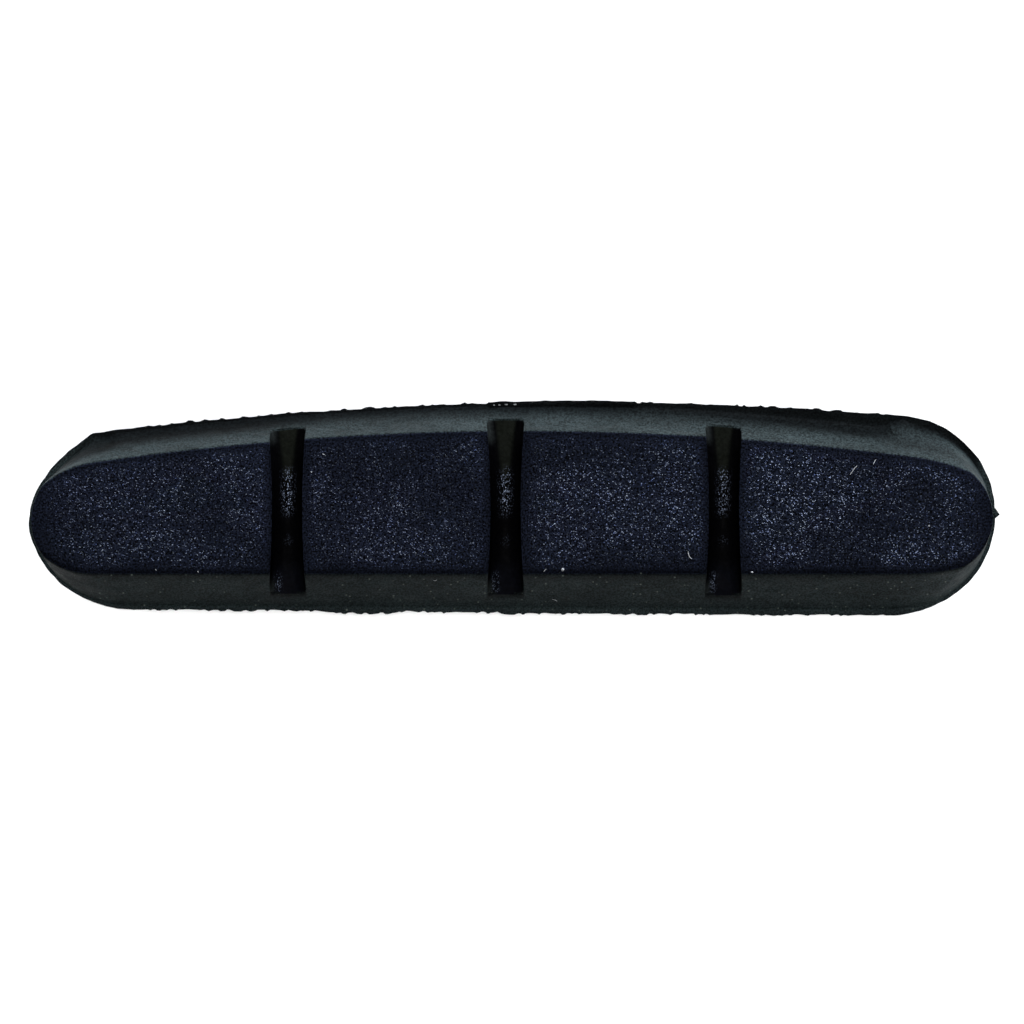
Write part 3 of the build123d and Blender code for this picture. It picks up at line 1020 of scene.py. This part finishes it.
class NodeSheet:
    """Adds shader nodes to a material and links them by socket."""

    def __init__(self, name):
        self.material = bpy.data.materials.new(name)
        self.material.use_nodes = True
        self.tree = self.material.node_tree
        self.shader = self.tree.nodes["Principled BSDF"]
        self.place = self.add("ShaderNodeTexCoord").outputs["Object"]

    def add(self, kind, settings=None, **inputs):
        """A node with its settings, and inputs given as values or as sockets to link: by name, or by
        number as i0, i1 and so on."""
        node = self.tree.nodes.new(kind)
        for key, value in (settings or {}).items():
            setattr(node, key, value)
        for key, value in inputs.items():
            self.put(node.inputs[int(key[1:]) if key[1:].isdigit() else key], value)
        return node

    def put(self, socket, value):
        """Sets a socket to a value, or links it to another socket."""
        if isinstance(value, bpy.types.NodeSocket):
            self.tree.links.new(value, socket)
        else:
            socket.default_value = value

    def surface(self, tint, roughness, specular=None):
        """Gives the shader its colour and roughness, and its specular level as a plain number."""
        self.put(self.shader.inputs["Base Color"], tint)
        self.put(self.shader.inputs["Roughness"], roughness)
        if specular is not None:
            self.shader.inputs["Specular IOR Level"].default_value = specular

    def pitted(self, height, strength, distance):
        """Roughens the shader's normal by a height."""
        bump = self.add("ShaderNodeBump", None, Strength=strength, Distance=distance, Height=height)
        self.put(self.shader.inputs["Normal"], bump.outputs[0])

    def attribute(self, name):
        """The value of a point attribute."""
        return self.add("ShaderNodeAttribute", {"attribute_name": name}).outputs["Fac"]

    def math(self, operation, first, second=0.0):
        """One arithmetic step."""
        return self.add("ShaderNodeMath", {"operation": operation}, i0=first, i1=second).outputs[0]

    def times(self, first, *others):
        """The product of several values."""
        for other in others:
            first = self.math("MULTIPLY", first, other)
        return first

    def scale_to(self, value, low, high, out_low, out_high):
        """A value mapped from one range to another, clamped and smoothed."""
        settings = {"interpolation_type": "SMOOTHSTEP"}
        return self.add(
            "ShaderNodeMapRange", settings, i0=value, i1=low, i2=high, i3=out_low, i4=out_high
        ).outputs[0]

    def mix(self, share, first, second, blend="MIX"):
        """Two colours mixed by a share."""
        node = self.add("ShaderNodeMix", {"data_type": "RGBA", "blend_type": blend})
        self.put(node.inputs[0], share)
        self.put(node.inputs[6], first)
        self.put(node.inputs[7], second)
        return node.outputs[2]

    def shaded(self, tint, shade):
        """A colour multiplied by a grey value."""
        grey = self.add("ShaderNodeCombineColor", None, Red=shade, Green=shade, Blue=shade)
        return self.mix(1.0, tint, grey.outputs[0], "MULTIPLY")

    def stretched(self, place, scale, turn=0.0):
        """Coordinates turned about the upright axis and scaled along each axis."""
        turned = {"Rotation": (0.0, 0.0, turn), "Scale": scale}
        return self.add("ShaderNodeMapping", None, Vector=place, **turned).outputs[0]

    def noise(self, place, scale, detail=2.0, rough=0.5):
        """Fractal noise from 0 to 1 at a number of features per metre."""
        settings = {"Scale": scale, "Detail": detail, "Roughness": rough}
        return self.add("ShaderNodeTexNoise", None, Vector=place, **settings).outputs[0]

    def cells(self, place, scale):
        """Distance to the nearest grain and three random numbers of that grain, at a number of grains
        per metre."""
        node = self.add("ShaderNodeTexVoronoi", None, Vector=place, Scale=scale)
        lots = self.add("ShaderNodeSeparateColor", None, Color=node.outputs["Color"])
        return node.outputs["Distance"], lots.outputs


def opaque(value):
    """A colour property as the four numbers that a colour socket takes."""
    return (*value, 1.0)


def dimmed(value, factor):
    """A darker copy of a colour property."""
    return opaque(factor * part for part in value)


# Features per metre of the patterns in the rubber, the lint and the floor
FINE_PITS = 11000.0
FLANK_SPECKLE = 9500.0
COARSE_PITS = 900.0
CLOUDS = 260.0
FACE_GRAINS = 14000.0
DUST_SPECKS = 5200.0
GROOVE_PITS = 5200.0
GROOVE_PATCHES = 1500.0
GROOVE_GLINTS = 18000.0
LINT_PATCHES = 9000.0
FLOOR_MOTTLE = 30.0

# The grains' slant and stretch, how far noise moves them in metres, and the speckle's upright stretch
GRAIN_SLANT, GRAIN_STRETCH = 0.6, (0.7, 1.2, 1.0)
GRAIN_WANDER = 9.0e-5
SPECKLE_STRETCH = (1.0, 1.0, 0.36)
GLINT_SLANT, GLINT_STRETCH = 0.2, (1.2, 0.6, 1.0)

# Where, in metres across the pad, the dust of the lower flank ends and the stronger speckle sets in
DUST_ENDS = (-0.0038, -0.0036)
SPECKLE_SETS_IN = (-0.0038, -0.0030)


def grain_glints(sheet, cloud):
    """Painted glints on the face's grain: how strongly a glint shows at a point, and a random number of its
    grain.
    The grains are slanted cells on coordinates that fine noise has moved. Few of them are bright, and
    they thin out with the clouds and the grain_area attribute."""
    wander = sheet.add("ShaderNodeTexNoise", None, Vector=sheet.place, Scale=FINE_PITS, Detail=0.0)
    step = sheet.add("ShaderNodeVectorMath", {"operation": "SCALE"}, Scale=GRAIN_WANDER)
    sheet.put(step.inputs[0], wander.outputs["Color"])
    moved = sheet.add("ShaderNodeVectorMath", {"operation": "ADD"}, i0=sheet.place, i1=step.outputs[0])
    near, lots = sheet.cells(sheet.stretched(moved.outputs[0], GRAIN_STRETCH, GRAIN_SLANT), FACE_GRAINS)
    dot = sheet.scale_to(near, 0.16, 0.5, 1.0, 0.0)
    bright = sheet.math("POWER", sheet.scale_to(lots[0], 0.5, 1.0, 0.0, 1.0), 2.2)
    patch = sheet.scale_to(cloud, 0.36, 0.62, 0.25, 1.0)
    return sheet.times(dot, bright, patch, sheet.attribute("grain_area")), lots[2]


def skin_shade(sheet, tall, cloud, across, face):
    """Unevenness of the ground colour, about 1: a speckle that swings most on the face and least on
    the lower flank, times slow clouds, and painted shade at the face's margins and along its edge line."""
    swing = sheet.scale_to(across, *SPECKLE_SETS_IN, 0.5, 0.65)
    swing = sheet.math("ADD", swing, sheet.times(face, 0.3))
    speckle = sheet.noise(tall, FLANK_SPECKLE, 1.0, 0.6)
    speckle = sheet.times(sheet.scale_to(speckle, 0.32, 0.68, -1.0, 1.0), swing)
    return sheet.times(
        sheet.math("ADD", speckle, 1.0),
        sheet.scale_to(cloud, 0.3, 0.7, 0.85, 1.15),
        sheet.scale_to(sheet.attribute("face_margin"), 0.0, 2.0, 1.0, 0.55),
    )


def flank_dust(sheet, tall, across):
    """Scattered specks of dust on the lower flank: the middles of the few luckiest cells."""
    near, lots = sheet.cells(tall, DUST_SPECKS)
    return sheet.times(
        sheet.scale_to(near, 0.12, 0.42, 1.0, 0.0),
        sheet.scale_to(lots[0], 0.9, 0.99, 0.0, 1.0),
        sheet.scale_to(across, *DUST_ENDS, 1.0, 0.0),
    )


def rubber_material(finish):
    """Moulded black compound: bluish ground with painted glints on the grain of the friction face and
    painted shade towards its margins, and grey-green speckled skin elsewhere, with painted shade at the
    root of the flanks, a thin stretched flash, and dust on the lower flank."""
    sheet = NodeSheet("rubber_compound")
    face = sheet.attribute("face_skin")
    across = sheet.add("ShaderNodeSeparateXYZ", None, Vector=sheet.place).outputs["Y"]
    tall = sheet.stretched(sheet.place, SPECKLE_STRETCH)
    fine = sheet.noise(sheet.place, FINE_PITS, 2.0, 0.6)
    coarse = sheet.noise(sheet.place, COARSE_PITS, 3.0, 0.55)
    cloud = sheet.noise(sheet.place, CLOUDS)
    sparkle, lot = grain_glints(sheet, cloud)

    # Painted shade: the darker root colour on the flanks where light falls off
    ground = sheet.mix(sheet.attribute("root_shade"), opaque(finish.skin), opaque(finish.root))
    ground = sheet.mix(face, ground, opaque(finish.face))
    ground = sheet.mix(sheet.attribute("flash_fin"), ground, opaque(finish.flash))
    ground = sheet.shaded(ground, skin_shade(sheet, tall, cloud, across, face))
    ground = sheet.mix(flank_dust(sheet, tall, across), ground, opaque(finish.dust))
    # Painted glints on the face's grain, pale and bluish
    grain = sheet.mix(lot, opaque(finish.blue_grain), opaque(finish.grain))
    roughness = sheet.scale_to(coarse, 0.3, 0.7, 0.5, 0.62)
    roughness = sheet.math("SUBTRACT", roughness, sheet.times(sparkle, 0.2))
    sheet.surface(sheet.mix(sparkle, ground, grain), roughness, specular=0.005)

    pits = sheet.math("ADD", fine, sheet.times(coarse, 0.3))
    pits = sheet.math("ADD", pits, sheet.times(sparkle, 0.4))
    sheet.pitted(pits, strength=0.4, distance=3.0e-5)
    return sheet.material


def groove_material(finish):
    """The same compound inside the grooves: near-black painted shade, with painted light on one end of the
    floor, a painted bluish reflection on the other, painted glints between, and painted light on the left
    walls at the open ends."""
    sheet = NodeSheet("groove_skin")
    fine = sheet.noise(sheet.place, GROOVE_PITS, 2.0, 0.6)
    patches = sheet.noise(sheet.place, GROOVE_PATCHES)
    # Painted shade and light in the grooves: near-black, with painted light on floor and left walls and a
    # painted bluish reflection
    tint = sheet.mix(sheet.attribute("dull_floor"), opaque(finish.groove), opaque(finish.dull_floor))
    tint = sheet.mix(sheet.attribute("blue_floor"), tint, opaque(finish.blue_floor))
    tint = sheet.mix(sheet.attribute("lit_wall"), tint, opaque(finish.wall))
    tint = sheet.shaded(tint, sheet.scale_to(fine, 0.25, 0.75, 0.7, 1.3))
    # Painted glints on the groove floors
    near, lots = sheet.cells(sheet.stretched(sheet.place, GLINT_STRETCH, GLINT_SLANT), GROOVE_GLINTS)
    glint_spot = sheet.times(
        sheet.scale_to(near, 0.2, 0.6, 1.0, 0.0),
        sheet.scale_to(lots[0], 0.42, 1.0, 0.0, 1.0),
        sheet.attribute("floor_glint"),
    )
    roughness = sheet.scale_to(patches, 0.3, 0.7, 0.4, 0.55)
    sheet.surface(sheet.mix(glint_spot, tint, opaque(finish.glint)), roughness, specular=0.003)
    sheet.pitted(fine, strength=0.5, distance=4.0e-5)
    return sheet.material


def lint_material(finish):
    """Pale cotton fibre and dust, a little uneven along its length."""
    sheet = NodeSheet("lint_fibre")
    uneven = sheet.scale_to(sheet.noise(sheet.place, LINT_PATCHES), 0.3, 0.7, 0.0, 1.0)
    sheet.surface(sheet.mix(uneven, dimmed(finish.lint, 0.45), opaque(finish.lint)), 0.8)
    return sheet.material


def floor_material(stage):
    """Pale matt floor with the faintest mottle."""
    sheet = NodeSheet("pale_floor")
    mottle = sheet.noise(sheet.place, FLOOR_MOTTLE, 3.0)
    sheet.surface(sheet.mix(mottle, dimmed(stage.floor, 0.98), opaque(stage.floor)), 0.9, specular=0.1)
    return sheet.material


# Lint lying on the pad: how thick each bit is, and points along it in the pad's plan in millimetres
LINT = (
    (1.0, ((19.55, 2.38), (19.40, 2.25), (19.20, 1.95), (19.15, 1.87))),
    (1.0, ((20.62, 2.75), (20.52, 2.60), (20.46, 2.45))),
    (1.0, ((9.97, -2.44), (9.99, -2.60), (10.03, -2.72), (10.11, -2.83), (10.20, -2.89))),
    (4.0, ((2.82, -3.44), (2.92, -3.54))),
    (0.8, ((1.95, -3.45), (1.78, -3.62))),
    (2.0, ((13.55, -3.62), (13.66, -3.66))),
    (2.0, ((23.58, -1.00), (23.66, -1.04))),
    (1.0, ((-10.74, 3.06), (-10.62, 3.02))),
    (1.0, ((-11.40, 2.06), (-11.32, 2.00))),
    (1.0, ((-20.20, -3.47), (-20.14, -3.55))),
    (1.0, ((-17.82, -3.58), (-17.76, -3.65))),
    (0.7, ((2.28, -5.20), (2.46, -5.24), (2.58, -5.32))),
    (0.7, ((-4.46, -4.10), (-4.34, -4.14), (-4.26, -4.06))),
    # The last four bits, on the lifted flash strip, are pale flecks that stand in for glints there: painted
    # highlights
    (1.9, ((-1.06, 5.86), (-0.98, 5.87))),
    (1.9, ((-0.78, 5.88), (-0.66, 5.87))),
    (1.9, ((-0.42, 5.90), (-0.24, 5.90))),
    (1.9, ((0.08, 5.90), (0.26, 5.91))),
)
LINT_STEPS = 14
LINT_SIDES = 6

# How high above the pad its place is looked for, in metres, and how far its middle lies above the
# surface, as a share of its radius
LINT_FALLS_FROM = 0.05
LINT_RISE = 0.8


def fibre_surface(path, radius):
    """A fibre: a circle carried along a path, its radius falling to nothing at both tips with the
    root of one less the eighth power of the distance from the middle."""
    t = np.linspace(-1.0, 1.0, len(path))
    thick = radius * np.sqrt(1.0 - t**8)
    along = np.gradient(path, axis=0)
    along /= np.linalg.norm(along, axis=1, keepdims=True)
    side = np.cross(along, (0.0, 0.0, 1.0))
    side /= np.linalg.norm(side, axis=1, keepdims=True)
    up = np.cross(side, along)
    turn = np.linspace(0.0, 2.0 * np.pi, LINT_SIDES, endpoint=False)[:, None, None]
    return path + thick[:, None] * (np.cos(turn) * side + np.sin(turn) * up)


def lint_on(insert, path, radius):
    """One bit of lint on the insert: its path sampled evenly in plan, dropped straight down on the
    surface and raised by a share of its radius."""
    marks = np.array(path)
    known, t = np.linspace(0.0, 1.0, len(marks)), np.linspace(0.0, 1.0, LINT_STEPS)
    plan = np.stack([np.interp(t, known, axis) for axis in marks.T], axis=-1)
    down = Vector((0.0, 0.0, -1.0))
    drop = [insert.ray_cast(Vector((x * MM, y * MM, LINT_FALLS_FROM)), down) for x, y in plan]
    if not all(found for found, *rest in drop):
        raise RuntimeError("a bit of lint lies beside the insert")
    high = np.array([spot.z for found, spot, *rest in drop]) / MM + LINT_RISE * radius
    return fibre_surface(np.column_stack((plan, high)), radius)


class BRAKEPAD_OT_insert(bpy.types.Operator):
    """Build the moulded rubber insert"""

    bl_idname = "brake_pad.add_insert"
    bl_label = "Add Insert"

    def execute(self, context):
        scene = context.scene
        points, attributes, in_groove = pad_surface(
            Millimetres(scene.pad_sizes),
            Millimetres(scene.groove_sizes),
            scene.groove_sizes.count,
            Millimetres(scene.mould_marks),
        )
        faces = grid_faces(*points.shape[:2])
        mesh = closed_mesh("brake_pad_insert", points, faces, attributes, INSERT_SHARP, in_groove)
        finishes = rubber_material(scene.rubber_finish), groove_material(scene.rubber_finish)
        piece = add_piece("brake_pad_insert", mesh, finishes)
        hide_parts("brake_pad")
        return {"FINISHED"}


class BRAKEPAD_OT_lint(bpy.types.Operator):
    """Lay the bits of lint on the insert"""

    bl_idname = "brake_pad.add_lint"
    bl_label = "Add Lint"

    def execute(self, context):
        scene = context.scene
        insert = bpy.data.objects["brake_pad_insert"]
        fibre = scene.mould_marks.lint_radius / MM
        points, faces = [], []
        for thickness, path in LINT:
            surface = lint_on(insert, path, thickness * fibre)
            faces.append(grid_faces(*surface.shape[:2]) + sum(len(p) for p in points))
            points.append(surface.reshape(-1, 3))
        mesh = closed_mesh("lint", np.concatenate(points), np.concatenate(faces), {}, LINT_SHARP)
        add_piece("lint", mesh, (lint_material(scene.rubber_finish),))
        return {"FINISHED"}


# Soft lights in metres: name, place, width and height; each has its power in the stage's settings
LIGHTS = (
    ("key", (0.30, 0.74, 0.12), (0.80, 0.16)),
    ("upper", (0.0, 0.42, 0.62), (0.80, 0.35)),
    ("lower", (0.0, -0.42, 0.62), (0.80, 0.35)),
    ("left", (-0.655, 0.46, 0.11), (0.16, 0.16)),
    ("right", (0.80, 0.0, 0.11), (0.16, 0.16)),
    ("top", (0.0, -0.018, 1.2), (0.12, 0.12)),
)
FLOOR_REACH = 3.0
SENSOR_WIDTH = 36.0
CLIP_START, CLIP_END = 0.05, 10.0

# The room's glow: bright up to one height of the sky, as a share of straight up, and dim from another
GLOW_BRIGHT = (0.35, (1.0, 1.0, 1.0, 1.0))
GLOW_DIM = (0.85, (0.05, 0.05, 0.05, 1.0))


def add_floor(stage):
    """A pale square floor under the pad, which is no part of it."""
    mesh = bpy.data.meshes.new("floor")
    corners = [(x * FLOOR_REACH, y * FLOOR_REACH, 0.0) for x, y in ((-1, -1), (1, -1), (1, 1), (-1, 1))]
    mesh.from_pydata(corners, [], [(0, 1, 2, 3)])
    mesh.materials.append(floor_material(stage))
    floor = bpy.data.objects.new("floor", mesh)
    bpy.context.scene.collection.objects.link(floor)


def add_light(name, place, target, size, power):
    """A soft rectangular light that faces a point."""
    data = bpy.data.lights.new(name, "AREA")
    data.shape = "RECTANGLE"
    data.size, data.size_y = size
    data.energy = power
    lamp = bpy.data.objects.new(name, data)
    lamp.location = place
    lamp.rotation_euler = (Vector(target) - Vector(place)).to_track_quat("-Z", "Y").to_euler()
    bpy.context.scene.collection.objects.link(lamp)
    return lamp


def studio_world(stage):
    """A faint glow of the room that fades from the horizon to straight above."""
    world = bpy.data.worlds.new("studio")
    world.use_nodes = True
    tree = world.node_tree
    glow = tree.nodes["Background"]
    place = tree.nodes.new("ShaderNodeTexCoord")
    split = tree.nodes.new("ShaderNodeSeparateXYZ")
    fade = tree.nodes.new("ShaderNodeValToRGB")
    tree.links.new(place.outputs["Generated"], split.inputs[0])
    tree.links.new(split.outputs["Z"], fade.inputs[0])
    tree.links.new(fade.outputs[0], glow.inputs["Color"])
    for stop, (position, tint) in zip(fade.color_ramp.elements, (GLOW_BRIGHT, GLOW_DIM)):
        stop.position = position
        stop.color = tint
    glow.inputs["Strength"].default_value = stage.sky_strength
    return world


def add_camera(stage, sizes):
    """A camera straight above the pad, whose picture has the given width at the flange."""
    lens = bpy.data.cameras.new("camera")
    lens.sensor_width = SENSOR_WIDTH
    lens.lens = SENSOR_WIDTH * stage.camera_height / stage.view_width
    lens.clip_start, lens.clip_end = CLIP_START, CLIP_END
    camera = bpy.data.objects.new("camera", lens)
    flange_top = sizes.rail_thickness + sizes.neck_height + sizes.flange_thickness
    camera.location = (0.0, -stage.view_drop, flange_top + stage.camera_height)
    bpy.context.scene.collection.objects.link(camera)
    return camera


class BRAKEPAD_OT_stage(bpy.types.Operator):
    """Set up the floor, the soft light and the camera"""

    bl_idname = "brake_pad.add_stage"
    bl_label = "Add Stage"

    def execute(self, context):
        scene = context.scene
        stage, sizes = scene.stage_settings, scene.pad_sizes
        add_floor(stage)
        middle = (0.0, 0.0, sizes.height / 2.0)
        lamps = {
            name: add_light(name, place, middle, size, getattr(stage, f"{name}_power"))
            for name, place, size in LIGHTS
        }
        lamps["key"].data.color = stage.key_tint
        scene.world = studio_world(stage)
        scene.camera = add_camera(stage, sizes)
        scene.view_settings.view_transform = "Standard"
        return {"FINISHED"}


class BRAKEPAD_PT_panel(bpy.types.Panel):
    """The pad's sizes, finishes and pieces in the sidebar."""

    bl_label = "Brake Pad"
    bl_idname = "BRAKEPAD_PT_panel"
    bl_space_type = "VIEW_3D"
    bl_region_type = "UI"
    bl_category = "Brake Pad"

    def draw(self, context):
        for operator in (BRAKEPAD_OT_insert, BRAKEPAD_OT_lint, BRAKEPAD_OT_stage):
            self.layout.operator(operator.bl_idname)
        for key in GROUPS:
            group = getattr(context.scene, key)
            box = self.layout.box()
            box.label(text=key.replace("_", " ").capitalize())
            for name in group.__annotations__:
                box.prop(group, name)


GROUPS = {
    "pad_sizes": PadSizes,
    "groove_sizes": GrooveSizes,
    "mould_marks": MouldMarks,
    "rubber_finish": RubberFinish,
    "stage_settings": StageSettings,
}
CLASSES = (
    *GROUPS.values(),
    BRAKEPAD_OT_insert,
    BRAKEPAD_OT_lint,
    BRAKEPAD_OT_stage,
    BRAKEPAD_PT_panel,
)


def register():
    """Registers the classes and hangs the property groups on the scene."""
    for entry in CLASSES:
        bpy.utils.register_class(entry)
    for key, group in GROUPS.items():
        setattr(bpy.types.Scene, key, PointerProperty(type=group))


def unregister():
    """Takes the property groups and classes off again."""
    for key in GROUPS:
        delattr(bpy.types.Scene, key)
    for entry in reversed(CLASSES):
        bpy.utils.unregister_class(entry)


def main():
    register()
    bpy.ops.brake_pad.add_insert()
    bpy.ops.brake_pad.add_lint()
    bpy.ops.brake_pad.add_stage()


if __name__ == "__main__":
    main()
